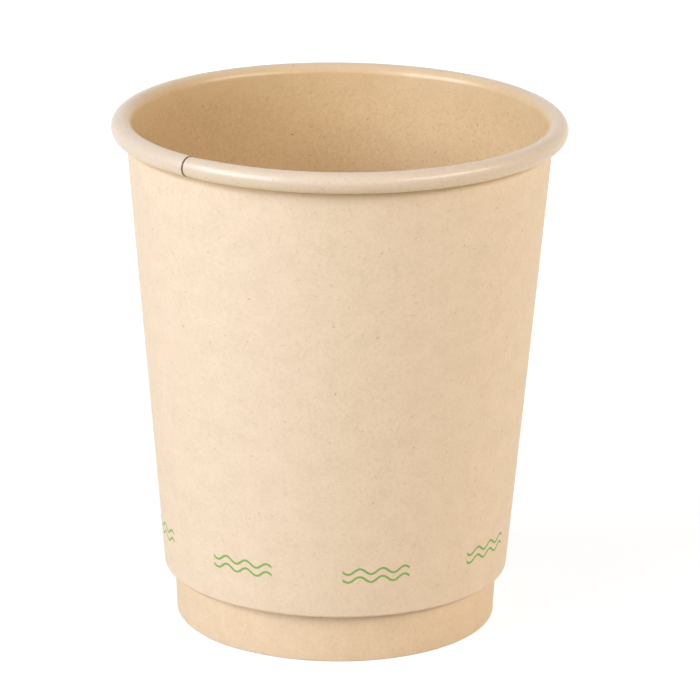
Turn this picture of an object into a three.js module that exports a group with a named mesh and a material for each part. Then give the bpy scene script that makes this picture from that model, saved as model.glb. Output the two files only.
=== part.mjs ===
// A double-wall paper cup for hot drinks, in millimetres, standing on z = 0 with its axis on Z.
// Three pieces of paper make it: a wrapped inner wall with a rolled rim, a bottom disc pressed into
// that wall's foot, and an outer sleeve that keeps a layer of air round the wall. Hot-melt glue
// holds the sleeve: a strip in its seam, and a row of dabs at the top and at the bottom.
import * as THREE from "three";

// Overall size
const RIM_DIAMETER = 80; // outside of the rolled rim
const CUP_HEIGHT = 91.2; // standing ring to the top of the rim
const BASE_DIAMETER = 56.9; // outside of the standing ring

// Paper
const WALL_PAPER = 0.3;
const DISC_PAPER = 0.28;
const SLEEVE_PAPER = 0.28;

// Inner wall
const RIM_ROLL = 3.66; // diameter of the rolled rim
const ROLL_TIP_CLEARANCE = 0.2; // cut edge of the roll to the wall's seam
const WALL_LAP = 6.5; // width of the seam
const SEAM_EASE = 6; // length over which the wall settles beside its seam
const SEAM_ANGLE = THREE.MathUtils.degToRad(-131.7); // cut edge that shows on the rim
const FOOT_HEIGHT = 8.8; // the steep foot, below the conical wall
const FOOT_FLARE = 0.39; // how far the foot widens over its height
const FOLD_BEND = 0.06; // inside radius at the bottom of the foot
const HEM_DROP = 0.9; // edge of the turned-up hem below the disc's bend

// Bottom disc
const DISC_HEIGHT = 8.3; // top of the disc above the standing ring
const DISC_BEND = 0.5; // inside radius between the disc and its skirt
const SKIRT_CLEARANCE = 0.3; // lower edge of the skirt above the fold, where the paper is double
const FOOT_CLEARANCE = 0.08; // between the sealed layers of the foot

// Outer sleeve
const SLEEVE_BOTTOM = 8.95; // lower edge above the standing ring
const SLEEVE_DROP = 0.22; // top edge below the underside of the rim
const SLEEVE_CLEARANCE = 0.3; // sleeve to the wall's seam, at the top
const AIR_GAP = 1.47; // between the walls at the lower edge
const SLEEVE_BEND = 0.3; // inside radius of the lower edge, where it turns in
const TUCK_CLEARANCE = 0.15; // turned-in edge to the wall's seam
const SLEEVE_LAP = 7;
const LAP_RISE = 7; // length over which the sleeve climbs onto its own lap
const SLEEVE_SEAM_ANGLE = SEAM_ANGLE + Math.PI;

// Glue
const SEAM_GLUE = 0.12; // thickness of the strip in the sleeve's seam
const SEAM_GLUE_WIDTH = 4;
const SEAM_GLUE_MARGIN = 3; // strip to the sleeve's top and lower edges
const GLUE_CLEARANCE = 0.06; // glue to the paper on each side
const DAB_HEIGHT = 3;
const DAB_LENGTH = 12;
const DABS_IN_ROW = 6;
const UPPER_DAB_DROP = 3; // top of the upper row below the sleeve's top edge
const LOWER_DAB_RISE = 2; // foot of the lower row above the sleeve's lower edge

// Facets
const SEGMENTS = 72; // round the cup
const ROLL_STEPS = 4; // in each quarter of the rolled rim
const BEND_STEPS = 2; // in each tight bend
const CUT_EDGE = 0.1; // width of the step at a cut edge of paper

const PAPER_COLOUR = 0xe2c49c;
const INSIDE_COLOUR = 0xd9b98f;
const GLUE_COLOUR = 0xeadfc4;

const TURN = 2 * Math.PI;
const baseRadius = BASE_DIAMETER / 2;
const rimRadius = RIM_DIAMETER / 2;
const rollRadius = RIM_ROLL / 2;
const rollCentre = new THREE.Vector2(rimRadius - rollRadius, CUP_HEIGHT - rollRadius);

// The wall's inner face runs up the foot, then along a line that touches the rolled rim.
const footInside = new THREE.Vector2(baseRadius - WALL_PAPER, 0);
const footTop = new THREE.Vector2(footInside.x + FOOT_FLARE, FOOT_HEIGHT);
const footToRoll = rollCentre.clone().sub(footTop);
const wallTilt =
  Math.atan2(footToRoll.x, footToRoll.y) - Math.asin(rollRadius / footToRoll.length());

// Radius of the foot's inner face at a height.
function footRadius(z) {
  return footInside.x + (FOOT_FLARE * z) / FOOT_HEIGHT;
}

// Radius of the wall's outer face at a height, away from the seam.
function wallOutside(z) {
  if (z < FOOT_HEIGHT) return footRadius(z) + WALL_PAPER;
  return footTop.x + (z - FOOT_HEIGHT) * Math.tan(wallTilt) + WALL_PAPER / Math.cos(wallTilt);
}

// The disc's skirt hangs between the foot's wall and its hem.
const discUnderside = DISC_HEIGHT - DISC_PAPER;
const discBendZ = discUnderside - DISC_BEND;
const skirtBottom = 2 * WALL_PAPER + SKIRT_CLEARANCE;
const hemTop = discBendZ - HEM_DROP;

// The sleeve's inner face is a straight cone between its lower and top edges.
const sleeveTop = CUP_HEIGHT - RIM_ROLL - SLEEVE_DROP;
const sleeveFoot = SLEEVE_BOTTOM + SLEEVE_PAPER;
const sleeveTopRadius = wallOutside(sleeveTop) + WALL_PAPER + SLEEVE_CLEARANCE;
const sleeveFootRadius = wallOutside(sleeveFoot) + AIR_GAP;
const sleeveTilt = Math.atan2(sleeveTopRadius - sleeveFootRadius, sleeveTop - sleeveFoot);
const lapLift = SLEEVE_PAPER + SEAM_GLUE + 2 * GLUE_CLEARANCE; // outer end over inner end of the sleeve

function sleeveInside(z) {
  return sleeveFootRadius + (z - sleeveFoot) * Math.tan(sleeveTilt);
}

// Angles spread evenly from one to another, both ends included.
function spread(from, to, steps) {
  return Array.from({ length: steps + 1 }, (_, i) => from + ((to - from) * i) / steps);
}

// The point at a distance and an angle from a centre.
function polar(centre, radius, angle) {
  return new THREE.Vector2(Math.cos(angle), Math.sin(angle)).multiplyScalar(radius).add(centre);
}

function arc(centre, radius, from, to, steps) {
  return spread(from, to, steps).map((angle) => polar(centre, radius, angle));
}

// A line of points moved to its right by a distance, with mitred corners.
function offset(points, distance) {
  const sides = points.slice(1).map((to, i) => {
    const along = to.clone().sub(points[i]).normalize();
    return new THREE.Vector2(along.y, -along.x);
  });
  return points.map((point, i) => {
    const sideBefore = sides[Math.max(i - 1, 0)];
    const sideAfter = sides[Math.min(i, sides.length - 1)];
    const mitre = sideBefore.clone().add(sideAfter).normalize();
    return point.clone().addScaledVector(mitre, distance / mitre.dot(sideBefore));
  });
}

// Section of a sheet of paper that lies to the right of a line: its face is moved in by one
// distance and its back by another.
function sheetSection(line, faceDepth, backDepth) {
  return [...offset(line, backDepth), ...offset(line, faceDepth).reverse()];
}

// Angles from one to another: both ends, the angles where a section changes, and between them the
// even steps that all pieces share, without those that come too close to another angle.
function anglesBetween(from, to, changes = []) {
  const step = TURN / SEGMENTS;
  const fixed = [from, ...changes, to];
  const first = Math.ceil(from / step);
  const count = Math.floor(to / step) - first + 1;
  const even = Array.from({ length: count }, (_, i) => (first + i) * step);
  const apart = even.filter((a) => fixed.every((f) => Math.abs(f - a) > step / 6));
  return [...fixed, ...apart].sort((a, b) => a - b);
}

// A solid swept round the axis: the section at each angle is an outline of radius and height that
// runs anticlockwise. The last section joins the first if the ring is closed, and is capped if not.
function sweepRound(angles, sectionAt, closed) {
  const sections = angles.map(sectionAt);
  const count = sections[0].length;
  const positions = sections.flatMap((section, j) =>
    section.flatMap((p) => [p.x * Math.cos(angles[j]), p.x * Math.sin(angles[j]), p.y]),
  );
  const index = [];
  const spans = closed ? angles.length : angles.length - 1;
  for (let j = 0; j < spans; j++) {
    const here = j * count;
    const next = ((j + 1) % angles.length) * count;
    for (let i = 0; i < count; i++) {
      const k = (i + 1) % count;
      index.push(here + i, next + i, here + k, here + k, next + i, next + k);
    }
  }
  if (!closed) {
    const last = (angles.length - 1) * count;
    for (const [a, b, c] of THREE.ShapeUtils.triangulateShape(sections[0], [])) index.push(a, b, c);
    for (const [a, b, c] of THREE.ShapeUtils.triangulateShape(sections.at(-1), []))
      index.push(last + a, last + c, last + b);
  }
  const geometry = new THREE.BufferGeometry();
  geometry.setAttribute("position", new THREE.Float32BufferAttribute(positions, 3));
  geometry.setIndex(index);
  geometry.computeVertexNormals();
  return geometry;
}

// The inner wall's inner face, from the hem's edge down into the foot, round the fold, up the
// wall and over the rolled rim to the roll's cut edge.
function wallLine() {
  const hemInset = DISC_PAPER + 2 * FOOT_CLEARANCE; // room for the disc's skirt
  const foldZ = WALL_PAPER;
  const bendZ = foldZ + FOLD_BEND;
  const wallBend = new THREE.Vector2(footRadius(bendZ) - FOLD_BEND, bendZ);
  const hemBend = new THREE.Vector2(footRadius(bendZ) - hemInset + FOLD_BEND, bendZ);
  const hemEdge = new THREE.Vector2(footRadius(hemTop) - hemInset, hemTop);
  const quarter = Math.PI / 2;
  const rollStart = 2 * quarter - wallTilt; // where the wall touches the roll
  const tightenFrom = -Math.PI / 6; // the roll keeps its full radius down to here
  const rollEnd = -0.75 * Math.PI;
  const tipRadius =
    (rollRadius - 2 * WALL_PAPER - ROLL_TIP_CLEARANCE) / Math.cos(rollEnd + Math.PI);
  const rollRadiusAt = (angle) => {
    const turned = Math.max(0, (tightenFrom - angle) / (tightenFrom - rollEnd));
    return rollRadius + (tipRadius - rollRadius) * turned * turned;
  };
  const rollAngles = [
    ...spread(rollStart, quarter, ROLL_STEPS),
    ...spread(quarter, 0, ROLL_STEPS).slice(1),
    ...spread(0, rollEnd, 1.5 * ROLL_STEPS).slice(1),
  ];
  return [
    hemEdge,
    ...arc(hemBend, FOLD_BEND, 2 * quarter, 3 * quarter, BEND_STEPS),
    ...arc(wallBend, FOLD_BEND, -quarter, 0, BEND_STEPS),
    footTop,
    ...rollAngles.map((angle) => polar(rollCentre, rollRadiusAt(angle), angle)),
  ];
}

// The wall's two ends lap at the seam. Seen from inside, one end stops at the seam angle, where
// the other end comes out from behind it and settles to the wall's own radius. The standing ring
// stays level: where the paper is double, the fold is pressed up instead of down.
function innerWall() {
  const line = wallLine();
  const meanRadius = (baseRadius + rimRadius) / 2;
  const cut = CUT_EDGE / 2 / meanRadius;
  const lap = WALL_LAP / meanRadius;
  const ease = SEAM_EASE / meanRadius;
  const sectionAt = (angle) => {
    const turned = angle - SEAM_ANGLE;
    const face = WALL_PAPER * Math.max(0, 1 - turned / ease);
    const doubled = turned > TURN - lap;
    const back = doubled ? 2 * WALL_PAPER : WALL_PAPER + face;
    const pressed = line.map((p) =>
      p.y < skirtBottom ? new THREE.Vector2(p.x, p.y + back - WALL_PAPER) : p,
    );
    return sheetSection(pressed, face, back);
  };
  const changes = [TURN - lap - cut, TURN - lap + cut, ease].map((a) => a + SEAM_ANGLE);
  const angles = anglesBetween(SEAM_ANGLE + cut, SEAM_ANGLE + TURN - cut, changes);
  return sweepRound(angles, sectionAt, true);
}

// A flat disc whose edge turns down into a skirt, which the wall's foot holds between its layers.
function bottomDisc() {
  const skirtInset = FOOT_CLEARANCE + DISC_PAPER;
  const bend = new THREE.Vector2(footRadius(discBendZ) - skirtInset - DISC_BEND, discBendZ);
  const line = [
    new THREE.Vector2(footRadius(skirtBottom) - skirtInset, skirtBottom),
    ...arc(bend, DISC_BEND, 0, Math.PI / 2, 2 * BEND_STEPS),
    new THREE.Vector2(0, discUnderside),
  ];
  const outline = [...line].reverse().concat(offset(line, DISC_PAPER));
  const geometry = new THREE.LatheGeometry(outline, SEGMENTS);
  return geometry.rotateX(Math.PI / 2);
}

// The sleeve's inner face, from its turned-in lower edge up to the top edge.
function sleeveLine() {
  const bendZ = sleeveFoot + SLEEVE_BEND;
  const bend = new THREE.Vector2(sleeveInside(bendZ) - SLEEVE_BEND / Math.cos(sleeveTilt), bendZ);
  const tuckRadius = wallOutside(sleeveFoot) + WALL_PAPER + TUCK_CLEARANCE;
  return [
    new THREE.Vector2(tuckRadius, sleeveFoot),
    ...arc(bend, SLEEVE_BEND, -Math.PI / 2, -sleeveTilt, 2 * BEND_STEPS),
    new THREE.Vector2(sleeveTopRadius, sleeveTop),
  ];
}

// Angles that the sleeve's lap and its rise take, at the sleeve's middle radius.
const sleeveMeanRadius = (sleeveTopRadius + sleeveFootRadius) / 2;
const sleeveLap = SLEEVE_LAP / sleeveMeanRadius;
const lapRise = LAP_RISE / sleeveMeanRadius;

// The sleeve goes once round and climbs onto its own beginning, which it laps with glue between.
function outerSleeve() {
  const line = sleeveLine();
  const sectionAt = (angle) => {
    const turned = angle - SLEEVE_SEAM_ANGLE;
    const lift = lapLift * THREE.MathUtils.clamp(1 + (turned - TURN) / lapRise, 0, 1);
    return sheetSection(line, lift, lift + SLEEVE_PAPER);
  };
  const changes = [TURN - lapRise, TURN].map((a) => a + SLEEVE_SEAM_ANGLE);
  const angles = anglesBetween(SLEEVE_SEAM_ANGLE, SLEEVE_SEAM_ANGLE + TURN + sleeveLap, changes);
  return sweepRound(angles, sectionAt, false);
}

// The strip of glue inside the sleeve's seam.
function seamGlue() {
  const inner = SLEEVE_PAPER + GLUE_CLEARANCE;
  const lower = sleeveFoot + SEAM_GLUE_MARGIN;
  const upper = sleeveTop - SEAM_GLUE_MARGIN;
  const line = [lower, upper].map((z) => new THREE.Vector2(sleeveInside(z), z));
  const middle = SLEEVE_SEAM_ANGLE + sleeveLap / 2;
  const half = SEAM_GLUE_WIDTH / 2 / sleeveMeanRadius;
  const sectionAt = () => sheetSection(line, inner, inner + SEAM_GLUE);
  return sweepRound(anglesBetween(middle - half, middle + half), sectionAt, false);
}

// A dab of glue that fills the space between the two walls, from one height to another.
function glueDab(middle, lower, upper) {
  const half = DAB_LENGTH / 2 / sleeveInside(lower);
  const corner = (radius, z) => new THREE.Vector2(radius, z);
  const section = [
    corner(wallOutside(lower) + GLUE_CLEARANCE, lower),
    corner(sleeveInside(lower) - GLUE_CLEARANCE, lower),
    corner(sleeveInside(upper) - GLUE_CLEARANCE, upper),
    corner(wallOutside(upper) + GLUE_CLEARANCE, upper),
  ];
  return sweepRound(anglesBetween(middle - half, middle + half), () => section, false);
}

function paper(name, color) {
  return new THREE.MeshStandardMaterial({ name, color, roughness: 0.75, metalness: 0 });
}

const wallPaper = paper("wall_paper", INSIDE_COLOUR);
const discPaper = paper("disc_paper", INSIDE_COLOUR);
const sleevePaper = paper("sleeve_paper", PAPER_COLOUR);
const glue = new THREE.MeshStandardMaterial({
  name: "glue",
  color: GLUE_COLOUR,
  roughness: 0.35,
  metalness: 0,
});

function piece(name, geometry, material) {
  const mesh = new THREE.Mesh(geometry, material);
  mesh.name = name;
  return mesh;
}

const innerCup = new THREE.Group();
innerCup.add(piece("inner_wall", innerWall(), wallPaper));
innerCup.add(piece("bottom_disc", bottomDisc(), discPaper));

const wrap = new THREE.Group();
wrap.add(piece("outer_sleeve", outerSleeve(), sleevePaper));
wrap.add(piece("sleeve_seam_glue", seamGlue(), glue));

// The dabs stand clear of both seams, which lie half a step from a dab's middle.
const upperDabTop = sleeveTop - UPPER_DAB_DROP;
const lowerDabFoot = sleeveFoot + LOWER_DAB_RISE;
for (let i = 0; i < DABS_IN_ROW; i++) {
  const middle = SEAM_ANGLE + ((i + 0.5) * TURN) / DABS_IN_ROW;
  const upper = glueDab(middle, upperDabTop - DAB_HEIGHT, upperDabTop);
  const lower = glueDab(middle, lowerDabFoot, lowerDabFoot + DAB_HEIGHT);
  wrap.add(piece(`upper_glue_dab_${i + 1}`, upper, glue));
  wrap.add(piece(`lower_glue_dab_${i + 1}`, lower, glue));
}

const cup = new THREE.Group();
cup.add(innerCup, wrap);

export default cup;
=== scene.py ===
"""The looks of a double-wall paper cup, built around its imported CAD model.

The three pieces of paper are modelled again as fine sheets in the places that the CAD pieces hold:
the wrapped inner wall with its rolled rim and its hem, the bottom disc and the outer sleeve.
The glue keeps its CAD solids and gets a material.
Sizes are in metres, in the CAD model's own frame: z = 0 is the table and the axis is Z.
"""

import math

import bpy
import numpy as np
from mathutils import Matrix, Vector


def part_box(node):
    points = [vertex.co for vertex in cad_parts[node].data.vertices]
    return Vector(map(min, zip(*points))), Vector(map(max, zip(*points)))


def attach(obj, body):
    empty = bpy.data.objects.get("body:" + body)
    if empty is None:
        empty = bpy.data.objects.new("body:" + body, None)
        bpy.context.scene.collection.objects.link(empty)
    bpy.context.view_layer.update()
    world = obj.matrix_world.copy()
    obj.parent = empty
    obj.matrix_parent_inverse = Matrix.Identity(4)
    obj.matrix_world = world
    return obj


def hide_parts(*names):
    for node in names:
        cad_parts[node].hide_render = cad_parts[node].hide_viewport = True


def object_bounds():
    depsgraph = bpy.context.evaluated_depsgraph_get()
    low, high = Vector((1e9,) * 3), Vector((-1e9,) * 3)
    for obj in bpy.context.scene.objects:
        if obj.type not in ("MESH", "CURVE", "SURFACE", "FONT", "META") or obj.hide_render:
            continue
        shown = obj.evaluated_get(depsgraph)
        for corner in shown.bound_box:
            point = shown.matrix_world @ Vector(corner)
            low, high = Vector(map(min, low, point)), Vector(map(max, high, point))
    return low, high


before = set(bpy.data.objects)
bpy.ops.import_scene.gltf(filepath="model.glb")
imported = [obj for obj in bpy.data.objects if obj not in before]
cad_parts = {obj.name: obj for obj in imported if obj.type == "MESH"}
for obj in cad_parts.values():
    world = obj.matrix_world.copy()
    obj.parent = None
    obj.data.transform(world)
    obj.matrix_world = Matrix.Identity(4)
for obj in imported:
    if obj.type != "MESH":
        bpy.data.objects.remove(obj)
cad_low, cad_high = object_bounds()

MM = 0.001
TURN = 2 * math.pi

# Overall size and paper, as in the CAD model
RIM_RADIUS = cad_high.x
CUP_HEIGHT = cad_high.z
BASE_RADIUS = 28.45 * MM  # outside of the standing ring
WALL_PAPER = 0.3 * MM
DISC_PAPER = 0.28 * MM
SLEEVE_PAPER = 0.28 * MM

# Inner wall, as in the CAD model
ROLL_RADIUS = 1.83 * MM  # outer face of the rolled rim
ROLL_TIGHTENS = math.radians(-30)  # the roll keeps its full radius down to here
ROLL_END = math.radians(-135)  # its cut edge, turned under
ROLL_TIP_CLEARANCE = 0.2 * MM  # cut edge of the roll to the wall's seam
WALL_LAP = 6.5 * MM  # width of the seam
SEAM_ANGLE = math.radians(-131.7)  # cut edge that shows on the rim
FOOT_HEIGHT = 8.8 * MM  # the steep foot, below the conical wall
FOOT_FLARE = 0.39 * MM  # how far the foot widens over its height
FOLD_BEND = 0.06 * MM  # inside radius at the bottom of the foot
HEM_DROP = 0.9 * MM  # edge of the turned-up hem below the disc's bend

# Bottom disc, as in the CAD model
DISC_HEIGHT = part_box("bottom_disc")[1].z
DISC_BEND = 0.5 * MM  # inside radius between the disc and its skirt
SKIRT_CLEARANCE = 0.3 * MM  # lower edge of the skirt above the fold, where the paper is double
FOOT_CLEARANCE = 0.08 * MM  # between the sealed layers of the foot

# Outer sleeve, as in the CAD model
SLEEVE_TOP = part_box("outer_sleeve")[1].z
SLEEVE_BOTTOM = 8.95 * MM  # lower edge above the standing ring
SLEEVE_CLEARANCE = 0.3 * MM  # sleeve to the wall's seam, at the top
AIR_GAP = 1.47 * MM  # between the walls at the lower edge
SLEEVE_BEND = 0.3 * MM  # inside radius of the lower edge, where it turns in
TUCK_CLEARANCE = 0.15 * MM  # turned-in edge to the wall's seam
SLEEVE_LAP = 7 * MM
LAP_RISE = 7 * MM  # length over which the sleeve climbs onto its own lap
LAP_LIFT = 0.52 * MM  # height of that climb
SLEEVE_SEAM_ANGLE = SEAM_ANGLE + math.pi

# Shape that is finer than in the CAD model
SEAM_EASE = 5 * MM  # length over which the wall settles beside its seam
SEAM_STEP = 0.1 * MM  # what the press leaves of the step at the seam's inner edge
CUT_EDGE = 0.25 * MM  # width of the slanted cut at the seam
RIB_COUNT = 96  # ribs that the sealing tool leaves inside the hem
RIB_DEPTH = 0.12 * MM
DISC_DISH = 0.25 * MM  # how far the middle of the disc sags
AXIS_CLEARANCE = 0.001 * MM  # the disc's section stops just short of the axis
RIM_UNEVEN = np.array([0.03, 0.06]) * MM  # how far the rim strays inwards and down at most
SLEEVE_UNEVEN = 0.05 * MM  # how far the sleeve strays either way
WAVES = ((0.5, 2, 0.7), (0.3, 3, 2.1), (0.2, 7, 4.4))  # share, number round the cup and phase

# Steps of the meshes
STATIONS = 480  # round the cup
HEM_STEPS = 6
FOLD_STEPS = 4
FOOT_STEPS = 4
WALL_STEPS = 16
ROLL_STEPS = 41
SKIRT_STEPS = 6
BEND_STEPS = 8
DISC_STEPS = 24
TUCK_STEPS = 3
SLEEVE_STEPS = 24
SMOOTH_ANGLE = math.radians(40)  # steeper edges stay sharp
CAP_GAP = 2 * MM  # room on the unrolled sheet between it and its cut ends

# Colours, as sRGB codes
SLEEVE_TONE = "ead0b0"
WALL_TONE = "e7c9a4"
COATED_TONE = "d9ba8f"
# The rim's paler tone is painted sheen and light; the rim is the same coated paper as the inside.
RIM_SHEEN_AND_LIGHT_TONE = "dcc7b0"
# Painted light: the underside of the rim is paler, in place of light from below.
RIM_UNDERSIDE_PAINTED_LIGHT = "fae2b8"
# Painted shade: the sleeve is browner just under the rim, in place of the crease's shadow.
CREASE_SHADE_TONE = "dcb684"
FLECK_TONE = "a37d52"
INK_TONE = "7fa650"
EDGE_TONES = ("cfae82", "ab8b60")
# Darker edge near the rim: partly the raw edge's own colour, partly painted shade in the seam's gap and
# under the rim.
DARK_EDGE_AND_SHADE_TONE = "6c5439"
GLUE_TONES = ("eadfc4", "dccba6")

# The paper's pattern. Its tones are shares of the paper's red, green and blue.
FIBRE_LENGTH = 1.3 * MM
FIBRE_WIDTH = 0.34 * MM
FIBRE_TURNS = 6  # directions that fibres lie in
FIRST_TURN = 0.3  # the first of them, in steps between two, so that none is level or upright
FELT_MEAN = 0.5
FIBRE_SPREAD = 0.12  # how far the felt goes from its mean where a fibre has its full tone
FIBRE_STRENGTH = 0.5
FIBRE_DARK = (0.94, 0.895, 0.85)
FIBRE_PALE = (1.05, 1.09, 1.14)
FIBRE_RELIEF = 0.15  # strength of the bump
RELIEF_DEPTH = 0.1 * MM  # of a bump of strength 1
ROUGHNESS_SPREAD = 0.05  # either way
ROUGHNESS_RANGE = (0.4, 0.6)  # values of the felt that are smoothest and roughest
CLOUD_SIZE = 4 * MM
CLOUD_DARK = (0.967, 0.962, 0.95)
CLOUD_PALE = (1.033, 1.038, 1.05)
CLOUD_RANGE = (0.3, 0.7)  # values of the noise that get the two tones
FLECKS = (
    # spacing, length, width, share of the places that have one, strength
    (1.5 * MM, 0.7 * MM, 0.22 * MM, 0.7, 0.45),
    (2.6 * MM, 1.1 * MM, 0.26 * MM, 0.4, 0.6),
    (7.0 * MM, 0.7 * MM, 0.45 * MM, 0.35, 0.9),
)
FLECK_CORE = 0.4  # share of a fleck that has its full tone

# What rolling does to the paper, and the painted sheen, light and shade on the rim and under it
RIM_FIBRES = 0.4  # share of the pattern's strength that is left
RIM_RELIEF = 0.05
RIM_COAT = 0.5  # weight of the polish
RIM_COAT_ROUGHNESS = 0.23
RIM_SHEEN_AND_LIGHT_RANGE = (-0.3, 1.1)  # where the rim's painted sheen and light begins and is full, in roll radii
UNDERSIDE_PAINTED_LIGHT_BLEND = 0.3  # where the underside's painted light is full, in roll radii
CREASE_SHADE_HEIGHT = 1.25 * MM  # height of the painted shade on the sleeve just under the rim

# Cut edges and glue
GRAIN_SIZE = MM / 3  # of cut edges
GRAIN_RANGE = (0.35, 0.65)
GLUE_CLOUD_SIZE = 2 * MM
GLUE_RELIEF = 0.4
GLUE_ROUGHNESS = (0.28, 0.42)

# The print: pairs of short wavy lines
PRINT_COUNT = 8
PRINT_PITCH = TURN / PRINT_COUNT
PRINT_ANGLE = math.radians(-121.7)  # of the middle of a pair
PRINT_HEIGHT = 17 * MM  # of that middle above the table
PRINT_LENGTH = 12 * MM
PRINT_WAVE = 4 * MM  # length of one wave
PRINT_SWING = 0.5 * MM  # either way
PRINT_APART = 1.5 * MM  # from line to line
PRINT_STROKE = 0.4 * MM
INK_BLUR = 0.08 * MM  # width of the ink's soft edge

# Floor. The camera sees it as white, with the cup's shadow on it.
WHITE = (1, 1, 1, 1)
FLOOR_SIDE = 6
FLOOR_DROP = 0.02 * MM  # keeps it clear of the cup's standing ring
FLOOR_BOUNCE = 0.6  # share of the light that it throws back at the cup
FLOOR_SHADE = 0.22  # share of the light that the camera sees, above the floor's glow
FLOOR_GLOW = (0.86, 0.97)  # at the cup and away from it
FLOOR_GLOW_REACH = (0.05, 0.35)  # distances from the axis
RECESS_GLOW = 0.3  # light under the cup's bottom, so that it shows from below
RECESS_GLOW_REACH = (0.8, 0.9)  # shares of the foot's radius

# Lamps
LAMP_DISTANCE = 1.1
LAMP_SIZE = (0.9, 0.25)  # width and height
COOL = (0.85, 0.905, 1.0)
WARM = (1.0, 0.925, 0.82)
PLAIN = (1.0, 0.99, 0.96)
LAMPS = (
    # name, degrees round from the camera to the right, degrees up, watts, tint, shown in reflections
    ("key", -60, 35, 8.1, COOL, True),
    ("left", -55, 18, 6.0, COOL, True),
    ("right", 60, 32, 6.2, WARM, True),
    ("right_low", 95, 4, 2.9, PLAIN, False),
    ("front", 20, 28, 1.1, WARM, True),
    ("back", 180, 12, 5.0, PLAIN, False),
    ("top", 0, 84, 1.2, PLAIN, False),
)

# Camera and picture, fitted to the photograph
PICTURE_SIDE = 700  # pixels
FOCAL_LENGTH = 4572  # pixels
SENSOR_WIDTH = 36  # millimetres, as the camera's settings take it
CAMERA_DISTANCE = 811.4 * MM
CAMERA_NEAR = 10 * MM  # nothing nearer shows
CAMERA_ELEVATION = math.radians(17.494)
CAMERA_ROLL = 0.01085  # radians
AIM_HEIGHT = 48.2 * MM
CUP_LEFT_OF_MIDDLE = 12.4  # pixels

# Shape worked out from the sizes
roll_centre = np.array([RIM_RADIUS - ROLL_RADIUS, CUP_HEIGHT - ROLL_RADIUS])
roll_bottom = CUP_HEIGHT - 2 * ROLL_RADIUS
foot_inside = BASE_RADIUS - WALL_PAPER
foot_top = np.array([foot_inside + FOOT_FLARE, FOOT_HEIGHT])
foot_to_roll = roll_centre - foot_top
wall_tilt = math.atan2(*foot_to_roll) - math.asin(ROLL_RADIUS / np.hypot(*foot_to_roll))
disc_underside = DISC_HEIGHT - DISC_PAPER
disc_bend_z = disc_underside - DISC_BEND
skirt_bottom = 2 * WALL_PAPER + SKIRT_CLEARANCE
hem_top = disc_bend_z - HEM_DROP


def foot_radius(z):
    """Radius of the foot's inner face."""
    return foot_inside + FOOT_FLARE * z / FOOT_HEIGHT


def wall_outside(z):
    """Radius of the conical wall's outer face, away from the seam."""
    return foot_top[0] + (z - FOOT_HEIGHT) * math.tan(wall_tilt) + WALL_PAPER / math.cos(wall_tilt)


sleeve_foot = SLEEVE_BOTTOM + SLEEVE_PAPER
sleeve_top_radius = wall_outside(SLEEVE_TOP) + WALL_PAPER + SLEEVE_CLEARANCE
sleeve_foot_radius = wall_outside(sleeve_foot) + AIR_GAP
sleeve_tilt = math.atan2(sleeve_top_radius - sleeve_foot_radius, SLEEVE_TOP - sleeve_foot)
sleeve_mean_radius = (sleeve_top_radius + sleeve_foot_radius) / 2


def sleeve_inside(z):
    """Radius of the sleeve's inner face, away from its lap."""
    return sleeve_foot_radius + (z - sleeve_foot) * math.tan(sleeve_tilt)


# Lines


def run(start, end, steps):
    """Points of a straight run, both ends included."""
    return np.linspace(start, end, steps + 1)


def polar(centre, radius, angles):
    """Points at the given angles round a centre."""
    return np.column_stack([centre[0] + radius * np.cos(angles), centre[1] + radius * np.sin(angles)])


def arc(centre, radius, start, end, steps):
    """Points of an arc, both ends included."""
    return polar(centre, radius, np.linspace(start, end, steps + 1))


def right_sides(line):
    """For each point of a line, the mitred step that moves it to the line's right by one metre."""
    along = np.diff(line, axis=0)
    along /= np.linalg.norm(along, axis=1, keepdims=True)
    sides = np.column_stack([along[:, 1], -along[:, 0]])
    before = np.vstack([sides[:1], sides])
    after = np.vstack([sides, sides[-1:]])
    mitre = before + after
    mitre /= np.linalg.norm(mitre, axis=1, keepdims=True)
    return mitre / np.sum(mitre * before, axis=1, keepdims=True)


def ease(x):
    """A smooth step from 0 to 1 as x goes from 0 to 1."""
    x = np.clip(x, 0, 1)
    return x * x * (3 - 2 * x)


def stations(start, end, changes=()):
    """Angles from start to end: even steps, less those close to an angle where the section changes."""
    step = TURN / STATIONS
    fixed = np.array([start, *changes, end])
    even = np.arange(math.ceil(start / step), math.floor(end / step) + 1) * step
    apart = even[np.abs(even[:, None] - fixed).min(axis=1) > step / 4]
    return np.sort(np.concatenate([fixed, apart]))


def waviness(angles):
    """A slow unevenness round the cup, from -1 to 1."""
    return sum(share * np.sin(count * angles + phase) for share, count, phase in WAVES)


# Sheets of paper, swept round the axis

OUTSIDE, INSIDE, CUT = range(3)  # a sheet's material slots


def outlines(line, face, back):
    """The closed outline of the paper at each station: along its back, and returning along its face."""
    sides = np.array([right_sides(one) for one in line])
    outer = line + sides * back[..., None]
    inner = line + sides * face[..., None]
    return np.concatenate([outer, inner[:, ::-1]], axis=1)


def swept_quads(spans, count, around):
    """Quads between the outlines of neighbouring stations. In a closed sheet the last meets the first."""
    here = np.arange(spans)[:, None] * around
    there = (np.arange(spans) + 1)[:, None] % count * around
    this = np.arange(around)
    that = (this + 1) % around
    return np.stack([here + this, there + this, there + that, here + that], axis=-1).reshape(-1, 4)


def swept_places(turns, across):
    """Places of those quads' corners on the unrolled sheet."""
    low, high, near, far = np.broadcast_arrays(turns[:-1, None], turns[1:, None], across[:-1], across[1:])
    corners = [(low, near), (high, near), (high, far), (low, far)]
    return np.stack([np.stack(corner, axis=-1) for corner in corners], axis=-2).reshape(-1, 4, 2)


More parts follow.
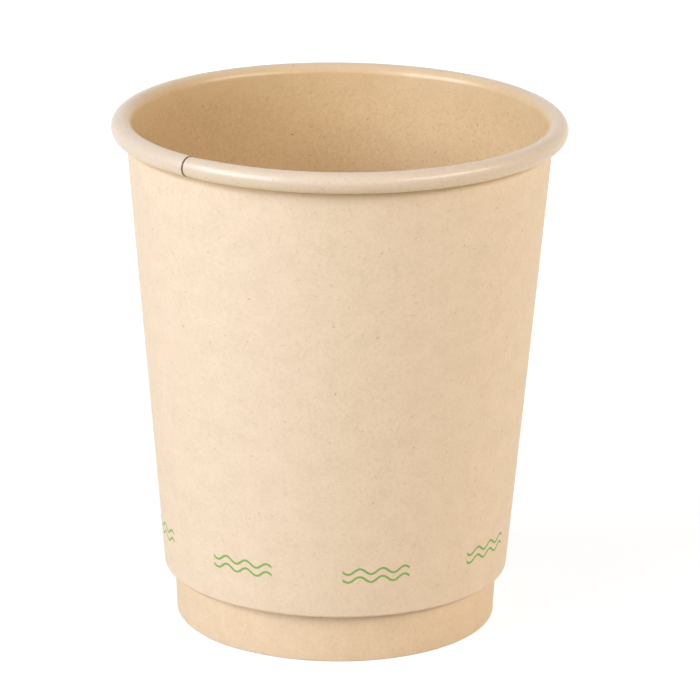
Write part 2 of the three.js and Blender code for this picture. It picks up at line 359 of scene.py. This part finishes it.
def swept_slots(spans, points, cuts):
    """Material slots of those quads: the paper's two sides, its edges, and the spans that are a cut."""
    slots = np.full((spans, 2 * points), OUTSIDE)
    slots[:, points:] = INSIDE
    slots[:, [points - 1, -1]] = CUT
    for span, side in cuts:
        slots[span, slots[span] == side] = CUT
    return slots.ravel()


def end_quads(points, last):
    """Quads that close a sheet's first and last outlines."""
    i = np.arange(points - 1)
    around = 2 * points
    first = np.stack([i, i + 1, around - 2 - i, around - 1 - i], axis=-1)
    return np.vstack([first, first[:, ::-1] + last * around])


def end_places(turns, across, points, thickness):
    """Places of those quads' corners, beside the unrolled sheet."""
    along = across[np.arange(points - 1)[:, None] + np.array([0, 1, 1, 0])]
    out = CAP_GAP + thickness * np.array([0, 0, 1, 1]) + 0 * along
    first = np.stack([turns[0] - out, along], axis=-1)
    last = np.stack([turns[-1] + out[:, ::-1], along], axis=-1)
    return np.vstack([first, last])


def sheet(name, angles, line, face, back, cuts=(), closed=True):
    """A sheet of paper swept round the axis.

    line has the sheet's section at each station, and the paper lies to its right, from the depth face to
    the depth back, each a number for each station and point. cuts has the spans between stations that are
    a cut edge, each with the side of the paper that it is on. A sheet that isn't closed gets cut ends.
    """
    points = line.shape[1]
    outline = outlines(line, face, back)
    radius, z = outline[..., 0], outline[..., 1]
    corners = np.stack([radius * np.cos(angles)[:, None], radius * np.sin(angles)[:, None], z], axis=-1)
    spans = len(angles) if closed else len(angles) - 1
    middle = outline.mean(axis=0)
    steps = np.linalg.norm(np.roll(middle, -1, axis=0) - middle, axis=1)
    across = np.append(0, np.cumsum(steps))
    turns = np.append(angles, angles[0] + TURN)[: spans + 1] * radius.mean()
    quads = swept_quads(spans, len(angles), 2 * points)
    places = swept_places(turns, across)
    slots = swept_slots(spans, points, cuts)
    if not closed:
        ends = end_quads(points, spans)
        quads = np.vstack([quads, ends])
        places = np.vstack([places, end_places(turns, across, points, np.mean(back - face))])
        slots = np.append(slots, np.full(len(ends), CUT))
    made = mesh_object(name, corners.reshape(-1, 3), quads, slots)
    lay_out(made.data, places.reshape(-1, 2))
    return made


def lay_out(mesh, places):
    """Keeps each corner's place on the unrolled paper, in metres for patterns and as a map for baking."""
    mesh.attributes.new("sheet", "FLOAT_VECTOR", "CORNER")
    set_sheet(mesh, np.column_stack([places, np.zeros(len(places))]))
    low = places.min(axis=0)
    share = (places - low) / (places.max(axis=0) - low)
    mesh.uv_layers.new(name="OFBake").data.foreach_set("uv", share.astype(np.float32).ravel())


def set_sheet(mesh, places):
    """Sets the places that the patterns use."""
    mesh.attributes["sheet"].data.foreach_set("vector", places.astype(np.float32).ravel())


def mesh_object(name, points, faces, slots):
    """A new object with a smooth mesh."""
    mesh = bpy.data.meshes.new(name)
    mesh.from_pydata(points.tolist(), [], faces.tolist())
    mesh.polygons.foreach_set("material_index", slots.astype(np.int32))
    mesh.polygons.foreach_set("use_smooth", np.ones(len(faces), bool))
    mesh.set_sharp_from_angle(angle=SMOOTH_ANGLE)
    mesh.update()
    made = bpy.data.objects.new(name, mesh)
    bpy.context.scene.collection.objects.link(made)
    return made


# Inner wall


def wall_line():
    """The wall's inner face: down the hem, round the fold, up the wall and over the rolled rim."""
    quarter = math.pi / 2
    hem_inset = DISC_PAPER + 2 * FOOT_CLEARANCE
    bend_z = WALL_PAPER + FOLD_BEND
    wall_bend = np.array([foot_radius(bend_z) - FOLD_BEND, bend_z])
    hem_bend = np.array([foot_radius(bend_z) - hem_inset + FOLD_BEND, bend_z])
    hem_edge = np.array([foot_radius(hem_top) - hem_inset, hem_top])
    fold_in = arc(hem_bend, FOLD_BEND, 2 * quarter, 3 * quarter, FOLD_STEPS)
    fold_out = arc(wall_bend, FOLD_BEND, -quarter, 0, FOLD_STEPS)
    tip_radius = (ROLL_RADIUS - 2 * WALL_PAPER - ROLL_TIP_CLEARANCE) / math.cos(ROLL_END + math.pi)
    angles = np.linspace(math.pi - wall_tilt, ROLL_END, ROLL_STEPS + 1)
    turned = np.clip((ROLL_TIGHTENS - angles) / (ROLL_TIGHTENS - ROLL_END), 0, 1)
    roll = polar(roll_centre, ROLL_RADIUS + (tip_radius - ROLL_RADIUS) * turned**2, angles)
    return np.vstack([
        run(hem_edge, fold_in[0], HEM_STEPS)[:-1],
        fold_in,
        fold_out,
        run(fold_out[-1], foot_top, FOOT_STEPS)[1:-1],
        run(foot_top, roll[0], WALL_STEPS)[:-1],
        roll,
    ])


def make_inner_wall():
    """One sheet whose ends lap at the seam, with a rolled rim and a ribbed hem."""
    mean_radius = (BASE_RADIUS + RIM_RADIUS) / 2
    cut = CUT_EDGE / 2 / mean_radius
    lap = WALL_LAP / mean_radius
    settle = SEAM_EASE / mean_radius
    lap_edge = SEAM_ANGLE + TURN - lap
    angles = stations(SEAM_ANGLE + cut, SEAM_ANGLE + TURN - cut, (lap_edge - cut, lap_edge + cut))
    turned = (angles - SEAM_ANGLE)[:, None]
    base = wall_line()
    beside = 1 - ease(turned / settle) + 0 * base[:, 0]
    face = SEAM_STEP * beside
    back = np.where(turned > TURN - lap, 2 * WALL_PAPER, WALL_PAPER * (1 + beside))
    line = np.repeat(base[None], len(angles), axis=0)
    # Where the paper is thicker, the fold is higher, so that the standing ring stays level.
    fold = base[:, 1] < skirt_bottom
    line[:, fold, 1] += (back - WALL_PAPER)[:, fold]
    # The rim strays inwards and down only, so that it stays inside the CAD model's box.
    high = ease((base[:, 1] - SLEEVE_TOP) / ROLL_RADIUS)
    stray = (1 + waviness(angles)) / 2
    line -= stray[:, None, None] * high[:, None] * RIM_UNEVEN
    on_hem = np.arange(len(base)) < HEM_STEPS
    ribs = 0.5 + 0.5 * np.cos(RIB_COUNT * angles)[:, None]
    back = back - RIB_DEPTH * ribs * on_hem
    lap_span = int(np.argmin(np.abs(angles - (lap_edge - cut))))
    cuts = [(len(angles) - 1, INSIDE), (lap_span, OUTSIDE)]
    return sheet("inner_wall_paper", angles, line, face, back, cuts)


# Bottom disc


def make_bottom_disc():
    """A dished disc with a rounded edge and a skirt that hangs in the foot."""
    skirt_inset = FOOT_CLEARANCE + DISC_PAPER
    skirt_edge = np.array([foot_radius(skirt_bottom) - skirt_inset, skirt_bottom])
    bend = np.array([foot_radius(disc_bend_z) - skirt_inset - DISC_BEND, disc_bend_z])
    corner = arc(bend, DISC_BEND, 0, math.pi / 2, BEND_STEPS)
    flat = run(corner[-1], np.array([AXIS_CLEARANCE, disc_underside]), DISC_STEPS)
    flat[:, 1] -= DISC_DISH * (1 - (flat[:, 0] / bend[0]) ** 2)
    base = np.vstack([run(skirt_edge, corner[0], SKIRT_STEPS)[:-1], corner, flat[1:]])
    angles = stations(0, TURN - TURN / STATIONS)
    line = np.repeat(base[None], len(angles), axis=0)
    face = np.zeros(line.shape[:2])
    made = sheet("bottom_disc_paper", angles, line, face, face + DISC_PAPER)
    # The disc was flat before its edge was turned, so its pattern lies in the plane.
    set_sheet(made.data, np.array([made.data.vertices[loop.vertex_index].co for loop in made.data.loops]))
    return made


# Outer sleeve


def sleeve_line():
    """The sleeve's inner face, from its turned-in lower edge up to the top edge."""
    bend_z = sleeve_foot + SLEEVE_BEND
    bend = np.array([sleeve_inside(bend_z) - SLEEVE_BEND / math.cos(sleeve_tilt), bend_z])
    tuck_radius = wall_outside(sleeve_foot) + WALL_PAPER + TUCK_CLEARANCE
    corner = arc(bend, SLEEVE_BEND, -math.pi / 2, -sleeve_tilt, BEND_STEPS)
    return np.vstack([
        run(np.array([tuck_radius, sleeve_foot]), corner[0], TUCK_STEPS)[:-1],
        corner,
        run(corner[-1], np.array([sleeve_top_radius, SLEEVE_TOP]), SLEEVE_STEPS)[1:],
    ])


def make_outer_sleeve():
    """A sheet that goes once round and climbs onto its own beginning."""
    lap = SLEEVE_LAP / sleeve_mean_radius
    rise = LAP_RISE / sleeve_mean_radius
    angles = stations(SLEEVE_SEAM_ANGLE, SLEEVE_SEAM_ANGLE + TURN + lap)
    turned = angles - SLEEVE_SEAM_ANGLE
    base = sleeve_line()
    line = np.repeat(base[None], len(angles), axis=0)
    share = (base[:, 1] - sleeve_foot) / (SLEEVE_TOP - sleeve_foot)
    slack = np.sin(math.pi * np.clip(share, 0, 1))
    lift = LAP_LIFT * ease(1 + (turned - TURN) / rise)
    face = lift[:, None] + SLEEVE_UNEVEN * waviness(angles)[:, None] * slack
    return sheet("outer_sleeve_paper", angles, line, face, face + SLEEVE_PAPER, closed=False)


# Nodes of materials


def colour(code):
    """Linear colour of an sRGB code such as "e3c6a0"."""
    shares = [int(code[i : i + 2], 16) / 255 for i in (0, 2, 4)]
    linear = [s / 12.92 if s <= 0.04045 else ((s + 0.055) / 1.055) ** 2.4 for s in shares]
    return (*linear, 1.0)


def shade(tone, share):
    """A colour made darker or paler, by one share or by one each for red, green and blue."""
    return (*np.multiply(share, tone[:3]), 1.0)


def node(tree, kind, inputs=None, **settings):
    """A new node, with its inputs set to values or linked to other nodes' sockets."""
    made = tree.nodes.new(kind)
    for name, value in settings.items():
        setattr(made, name, value)
    for key, value in (inputs or {}).items():
        if isinstance(value, bpy.types.NodeSocket):
            tree.links.new(value, made.inputs[key])
        else:
            made.inputs[key].default_value = value
    return made


def mix(tree, share, first, second):
    """The colour between two colours."""
    # The node has sockets of the same names for each kind of data. These are the colours' places.
    made = node(tree, "ShaderNodeMix", {0: share, 6: first, 7: second}, data_type="RGBA")
    return made.outputs[2]


def maths(tree, operation, *values):
    """The result of a sum on values or sockets."""
    return node(tree, "ShaderNodeMath", dict(enumerate(values)), operation=operation).outputs[0]


def vectors(tree, operation, output, *values):
    """One output of a sum on vectors."""
    return node(tree, "ShaderNodeVectorMath", dict(enumerate(values)), operation=operation).outputs[output]


def ramp(tree, value, low, high, bottom=0.0, top=1.0):
    """A value taken from the range low to high to the range bottom to top, and kept within it."""
    inputs = {"Value": value, "From Min": low, "From Max": high, "To Min": bottom, "To Max": top}
    return node(tree, "ShaderNodeMapRange", inputs).outputs["Result"]


def noise(tree, place, size, detail):
    """Soft patches of about the given size, from 0 to 1."""
    inputs = {"Vector": place, "Scale": 1 / size, "Detail": detail}
    return node(tree, "ShaderNodeTexNoise", inputs).outputs["Fac"]


def object_place(tree):
    """The place of a point in the cup's frame."""
    return node(tree, "ShaderNodeTexCoord").outputs["Object"]


def height_of(tree, spot):
    """Height of a place above the table."""
    return node(tree, "ShaderNodeSeparateXYZ", {"Vector": spot}).outputs["Z"]


def from_axis(tree, spot):
    """Distance of a place from the cup's axis."""
    level = vectors(tree, "MULTIPLY", "Vector", spot, (1, 1, 0))
    return vectors(tree, "LENGTH", "Value", level)


def relief_of(tree, height, strength):
    """The normal of a surface with a fine relief."""
    inputs = {"Height": height, "Strength": strength, "Distance": RELIEF_DEPTH}
    return node(tree, "ShaderNodeBump", inputs).outputs["Normal"]


def new_material(name):
    """A material with no nodes yet."""
    made = bpy.data.materials.new(name)
    made.use_nodes = True
    made.node_tree.nodes.clear()
    return made


def principled(tree, inputs):
    """Gives the material its surface."""
    shader = node(tree, "ShaderNodeBsdfPrincipled", inputs)
    node(tree, "ShaderNodeOutputMaterial", {"Surface": shader.outputs["BSDF"]})


# Paper


def streaks(tree, place, turn, length, width):
    """Soft streaks that lie along one direction of the sheet."""
    inputs = {
        "Vector": place,
        "Location": (turn, turn, 0),
        "Rotation": (0, 0, turn),
        "Scale": (length, width, 1),
    }
    laid = node(tree, "ShaderNodeMapping", inputs, vector_type="TEXTURE").outputs["Vector"]
    inputs = {"Vector": laid, "Scale": 1.0, "Detail": 1.0}
    return node(tree, "ShaderNodeTexNoise", inputs, noise_dimensions="2D").outputs["Fac"]


def felt_of_fibres(tree, place):
    """The thickness of a felt of short fibres that lie in all directions, from 0 to 1."""
    total = 0.0
    for i in range(FIBRE_TURNS):
        layer = streaks(tree, place, math.pi * (i + FIRST_TURN) / FIBRE_TURNS, FIBRE_LENGTH, FIBRE_WIDTH)
        total = maths(tree, "ADD", total, layer)
    return maths(tree, "DIVIDE", total, FIBRE_TURNS)


def flecks(tree, place, spacing, length, width, share):
    """Single fibres that lie in all directions, in a share of the cells of the given spacing."""
    inputs = {"Vector": place, "Scale": 1 / spacing}
    cells = node(tree, "ShaderNodeTexVoronoi", inputs, voronoi_dimensions="2D").outputs
    picks = node(tree, "ShaderNodeSeparateColor", {"Color": cells["Color"]}).outputs
    offset = vectors(tree, "SUBTRACT", "Vector", place, cells["Position"])
    inputs = {"Vector": offset, "Angle": maths(tree, "MULTIPLY", picks["Green"], TURN)}
    laid = node(tree, "ShaderNodeVectorRotate", inputs, rotation_type="Z_AXIS").outputs["Vector"]
    scaled = vectors(tree, "DIVIDE", "Vector", laid, (length / 2, width / 2, 1.0))
    reach = vectors(tree, "LENGTH", "Value", scaled)
    shape = ramp(tree, reach, FLECK_CORE, 1.0, 1.0, 0.0)
    return maths(tree, "MULTIPLY", shape, ramp(tree, picks["Red"], 1 - share, 1.0))


def rim_painted_sheen_and_light(tree, spot, tone):
    """Paints sheen and light on the rolled rim: a paler tone towards its upper outer side, palest on its
    underside.
    """
    radius = from_axis(tree, spot)
    height = height_of(tree, spot)
    outward = maths(tree, "SUBTRACT", maths(tree, "ADD", radius, height), roll_centre.sum())
    turned_out = ramp(tree, outward, *(share * ROLL_RADIUS for share in RIM_SHEEN_AND_LIGHT_RANGE))
    tone = mix(tree, turned_out, tone, colour(RIM_SHEEN_AND_LIGHT_TONE))
    # Painted light: the roll's underside is paler.
    beyond = ramp(tree, radius, roll_centre[0], roll_centre[0] + UNDERSIDE_PAINTED_LIGHT_BLEND * ROLL_RADIUS)
    lower = ramp(tree, height, roll_centre[1], roll_bottom)
    return mix(tree, maths(tree, "MULTIPLY", beyond, lower), tone, colour(RIM_UNDERSIDE_PAINTED_LIGHT))


def paint_crease_shade(tree, spot, tone):
    """Paints shade on the sleeve: browner in the band just under the rim."""
    crease_shade = ramp(tree, height_of(tree, spot), SLEEVE_TOP - CREASE_SHADE_HEIGHT, SLEEVE_TOP)
    return mix(tree, crease_shade, tone, colour(CREASE_SHADE_TONE))


def wave_print(tree, spot, tone):
    """Prints a pair of short wavy lines, repeated round the sleeve."""
    x, y, z = node(tree, "ShaderNodeSeparateXYZ", {"Vector": spot}).outputs
    turned = maths(tree, "SUBTRACT", maths(tree, "ARCTAN2", y, x), PRINT_ANGLE - PRINT_PITCH / 2)
    share = maths(tree, "FRACT", maths(tree, "DIVIDE", turned, PRINT_PITCH))
    pitch_length = PRINT_PITCH * sleeve_inside(PRINT_HEIGHT)
    along = maths(tree, "MULTIPLY", maths(tree, "SUBTRACT", share, 0.5), pitch_length)
    phase = maths(tree, "MULTIPLY", along, TURN / PRINT_WAVE)
    middle = maths(tree, "MULTIPLY_ADD", maths(tree, "SINE", phase), PRINT_SWING, PRINT_HEIGHT)
    off_middle = maths(tree, "ABSOLUTE", maths(tree, "SUBTRACT", z, middle))
    off_line = maths(tree, "ABSOLUTE", maths(tree, "SUBTRACT", off_middle, PRINT_APART / 2))
    # Dividing by the slant makes the stroke as wide on the slopes as at the crests.
    slope = maths(tree, "MULTIPLY", maths(tree, "COSINE", phase), PRINT_SWING * TURN / PRINT_WAVE)
    slant = maths(tree, "SQRT", maths(tree, "MULTIPLY_ADD", slope, slope, 1.0))
    off = maths(tree, "DIVIDE", off_line, slant)
    stroke = ramp(tree, off, (PRINT_STROKE + INK_BLUR) / 2, (PRINT_STROKE - INK_BLUR) / 2)
    half = PRINT_LENGTH / 2
    length = ramp(tree, maths(tree, "ABSOLUTE", along), half, half - INK_BLUR)
    return mix(tree, maths(tree, "MULTIPLY", stroke, length), tone, colour(INK_TONE))


def paper(name, code, roughness, gloss, contrast=1.0, rim=False, sleeve=False):
    """Unbleached paper: a felt of fibres, soft clouds and brown flecks.

    rim is for the side of the sheet that shows on the rolled rim, which the rolling has polished and which
    gets painted sheen and light, and sleeve for the side that has the print and the painted shade just
    under the rim.
    """
    made = new_material(name)
    tree = made.node_tree
    base = colour(code)
    place = node(tree, "ShaderNodeAttribute", attribute_name="sheet").outputs["Vector"]
    spot = object_place(tree)
    felt = felt_of_fibres(tree, place)
    clouds = ramp(tree, noise(tree, place, CLOUD_SIZE, detail=3.0), *CLOUD_RANGE)
    tone = mix(tree, clouds, shade(base, CLOUD_PALE), shade(base, CLOUD_DARK))
    strength = FIBRE_STRENGTH * contrast
    relief = FIBRE_RELIEF
    coat = 0.0
    if rim:
        # Painted sheen and light on the rim, and painted light on its underside.
        tone = rim_painted_sheen_and_light(tree, spot, tone)
        rolled = ramp(tree, height_of(tree, spot), SLEEVE_TOP - ROLL_RADIUS, SLEEVE_TOP + ROLL_RADIUS)
        strength = ramp(tree, rolled, 0.0, 1.0, strength, RIM_FIBRES * strength)
        relief = ramp(tree, rolled, 0.0, 1.0, FIBRE_RELIEF, RIM_RELIEF)
        coat = ramp(tree, rolled, 0.0, 1.0, 0.0, RIM_COAT)
    for spread, fibre_tone in ((FIBRE_SPREAD, FIBRE_DARK), (-FIBRE_SPREAD, FIBRE_PALE)):
        fibres = maths(tree, "MULTIPLY", ramp(tree, felt, FELT_MEAN, FELT_MEAN + spread), strength)
        tone = mix(tree, fibres, tone, shade(base, fibre_tone))
    if sleeve:
        # Painted shade just under the rim.
        tone = paint_crease_shade(tree, spot, tone)
        tone = wave_print(tree, spot, tone)
    for spacing, length, width, share, depth in FLECKS:
        fleck = maths(tree, "MULTIPLY", flecks(tree, place, spacing, length, width, share), depth)
        tone = mix(tree, maths(tree, "MULTIPLY", fleck, strength), tone, colour(FLECK_TONE))
    smooth, rough = roughness - ROUGHNESS_SPREAD, roughness + ROUGHNESS_SPREAD
    principled(tree, {
        "Base Color": tone,
        "Roughness": ramp(tree, felt, *ROUGHNESS_RANGE, smooth, rough),
        "Specular IOR Level": gloss,
        "Coat Weight": coat,
        "Coat Roughness": RIM_COAT_ROUGHNESS,
        "Normal": relief_of(tree, felt, relief),
    })
    return made


def cut_edge(name):
    """The raw edge of cut paper: coarse, and darker near the rim, partly the edge's own colour and partly
    painted shade in the seam's gap and under the rim.
    """
    made = new_material(name)
    tree = made.node_tree
    spot = object_place(tree)
    grain = ramp(tree, noise(tree, spot, GRAIN_SIZE, detail=2.0), *GRAIN_RANGE)
    tone = mix(tree, grain, *(colour(code) for code in EDGE_TONES))
    # Darker near the rim: partly the edge's own colour, partly painted shade.
    rolled = ramp(tree, height_of(tree, spot), SLEEVE_TOP - ROLL_RADIUS, SLEEVE_TOP)
    principled(tree, {
        "Base Color": mix(tree, rolled, tone, colour(DARK_EDGE_AND_SHADE_TONE)),
        "Roughness": 0.9,
        "Specular IOR Level": 0.2,
    })
    return made


def set_glue(name):
    """Set hot-melt glue: milky and a little glossy."""
    made = new_material(name)
    tree = made.node_tree
    clouds = noise(tree, object_place(tree), GLUE_CLOUD_SIZE, detail=3.0)
    principled(tree, {
        "Base Color": mix(tree, ramp(tree, clouds, *CLOUD_RANGE), *(colour(code) for code in GLUE_TONES)),
        "Roughness": ramp(tree, clouds, *CLOUD_RANGE, *GLUE_ROUGHNESS),
        "Normal": relief_of(tree, clouds, GLUE_RELIEF),
    })
    return made


# The stage


def seen_directly(tree):
    """1 for rays from the camera, also by way of a mirror or glass, and 0 for the light that bounces."""
    path = node(tree, "ShaderNodeLightPath").outputs
    through = maths(tree, "MAXIMUM", path["Is Glossy Ray"], path["Is Transmission Ray"])
    return maths(tree, "MAXIMUM", path["Is Camera Ray"], through)


def glowing_floor(tree, diffuse, glow):
    """A floor that throws back a share of the light and adds a glow of its own."""
    lit = node(tree, "ShaderNodeBsdfDiffuse", {"Color": shade(WHITE, diffuse)})
    glows = node(tree, "ShaderNodeEmission", {"Color": WHITE, "Strength": glow})
    return node(tree, "ShaderNodeAddShader", {0: lit.outputs[0], 1: glows.outputs[0]}).outputs[0]


def either(tree, share, first, second):
    """The shader between two shaders."""
    return node(tree, "ShaderNodeMixShader", {0: share, 1: first, 2: second}).outputs[0]


def make_floor():
    """A pale floor that the camera sees as white with the cup's shadow, and doesn't see from below."""
    half = FLOOR_SIDE / 2
    square = np.array([(-half, -half), (half, -half), (half, half), (-half, half)])
    corners = np.column_stack([square, np.full(len(square), -FLOOR_DROP)])
    floor = mesh_object("floor", corners, np.array([[0, 1, 2, 3]]), np.zeros(1))
    made = new_material("floor_white")
    tree = made.node_tree
    distance = from_axis(tree, object_place(tree))
    seen = glowing_floor(tree, FLOOR_SHADE, ramp(tree, distance, *FLOOR_GLOW_REACH, *FLOOR_GLOW))
    recess_edge = [share * foot_radius(0) for share in RECESS_GLOW_REACH]
    recess = ramp(tree, distance, *recess_edge, RECESS_GLOW, 0.0)
    bounced = glowing_floor(tree, FLOOR_BOUNCE, recess)
    above = either(tree, seen_directly(tree), bounced, seen)
    below = node(tree, "ShaderNodeNewGeometry").outputs["Backfacing"]
    clear = node(tree, "ShaderNodeBsdfTransparent").outputs[0]
    node(tree, "ShaderNodeOutputMaterial", {"Surface": either(tree, below, above, clear)})
    floor.data.materials.append(made)


def make_backdrop():
    """A white backdrop that gives no light."""
    world = bpy.data.worlds.new("studio")
    world.use_nodes = True
    tree = world.node_tree
    tree.nodes.clear()
    white = node(tree, "ShaderNodeBackground", {"Color": WHITE, "Strength": seen_directly(tree)})
    node(tree, "ShaderNodeOutputWorld", {"Surface": white.outputs[0]})
    bpy.context.scene.world = world


def make_lamp(name, azimuth, elevation, power, tint, mirrored):
    """A soft lamp that faces the middle of the cup. One that isn't mirrored stays out of reflections."""
    data = bpy.data.lights.new(name, "AREA")
    data.shape = "RECTANGLE"
    data.size, data.size_y = LAMP_SIZE
    data.energy = power
    data.color = tint
    lamp = bpy.data.objects.new(name, data)
    turn, rise = math.radians(azimuth), math.radians(elevation)
    away = Vector((math.sin(turn) * math.cos(rise), -math.cos(turn) * math.cos(rise), math.sin(rise)))
    lamp.location = Vector((0, 0, CUP_HEIGHT / 2)) + LAMP_DISTANCE * away
    lamp.rotation_euler = away.to_track_quat("Z", "Y").to_euler()
    lamp.visible_glossy = mirrored
    bpy.context.scene.collection.objects.link(lamp)


def make_camera():
    """The photograph's camera: a long lens, a little above the rim, turned slightly about its own axis."""
    data = bpy.data.cameras.new("camera")
    data.sensor_width = SENSOR_WIDTH
    data.lens = SENSOR_WIDTH * FOCAL_LENGTH / PICTURE_SIDE
    data.clip_start = CAMERA_NEAR
    camera = bpy.data.objects.new("camera", data)
    aim = Vector((CAMERA_DISTANCE * CUP_LEFT_OF_MIDDLE / FOCAL_LENGTH, 0, AIM_HEIGHT))
    back = Vector((0, -math.cos(CAMERA_ELEVATION), math.sin(CAMERA_ELEVATION)))
    place = Vector((0, 0, AIM_HEIGHT)) + CAMERA_DISTANCE * back
    facing = (aim - place).to_track_quat("-Z", "Y").to_matrix().to_4x4()
    camera.matrix_world = Matrix.Translation(place) @ facing @ Matrix.Rotation(CAMERA_ROLL, 4, "Z")
    bpy.context.scene.collection.objects.link(camera)
    bpy.context.scene.camera = camera


# Build

make_camera()
make_floor()
make_backdrop()
for lamp in LAMPS:
    make_lamp(*lamp)
bpy.context.scene.view_settings.view_transform = "Standard"

raw_edge = cut_edge("raw_edge")
sleeve_out = paper("sleeve_paper", SLEEVE_TONE, roughness=0.62, gloss=0.8, sleeve=True)
wall_out = paper("wall_paper", WALL_TONE, roughness=0.62, gloss=0.75)
wall_in = paper("coated_paper", COATED_TONE, roughness=0.42, gloss=0.35, contrast=1.8, rim=True)

inner_wall = make_inner_wall()
bottom_disc = make_bottom_disc()
outer_sleeve = make_outer_sleeve()
for piece, node_name, slot, outside, inside in (
    (inner_wall, "inner_wall", "wall_paper", wall_out, wall_in),
    (bottom_disc, "bottom_disc", "disc_paper", wall_in, wall_out),
    (outer_sleeve, "outer_sleeve", "sleeve_paper", sleeve_out, sleeve_out),
):
    for material in (outside, inside, raw_edge):
        piece.data.materials.append(material)
    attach(piece, "root")
    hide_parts(node_name)

glue = set_glue("hot_melt_glue")
for name, cad_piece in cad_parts.items():
    if "glue" in name:
        cad_piece.data.materials.clear()
        cad_piece.data.materials.append(glue)
